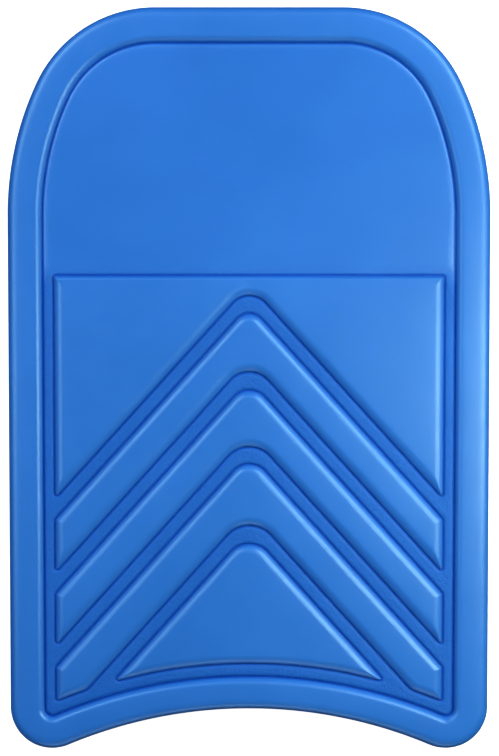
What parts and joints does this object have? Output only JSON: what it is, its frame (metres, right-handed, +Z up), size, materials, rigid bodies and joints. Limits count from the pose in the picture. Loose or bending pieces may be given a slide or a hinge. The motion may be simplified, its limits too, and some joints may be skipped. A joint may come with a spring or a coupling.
{
  "type": "kickboard float",
  "caption": "Arch-nosed foam swimming kickboard with a hollow tail, a raised rim and raised chevron grip panels on its deck.",
  "frame": {"origin": "middle of the flat underside", "axes": "+Z up out of the deck, +Y along the board towards the nose, +X across the board to the swimmer's right"},
  "size_m": [0.3, 0.46, 0.035],
  "materials": {
    "skin_foam": "satin pressed closed-cell foam, blue",
    "core_foam": "matt open-cut closed-cell foam, off-white",
    "bond_film": "translucent hot-melt film, pale grey"
  },
  "bodies": {
    "root": {"deck_skin": "skin_foam", "deck_bond_film": "bond_film", "core_upper_ply": "core_foam", "core_middle_ply": "core_foam", "core_lower_ply": "core_foam", "base_bond_film": "bond_film", "base_skin": "skin_foam"}
  },
  "joints": []
}
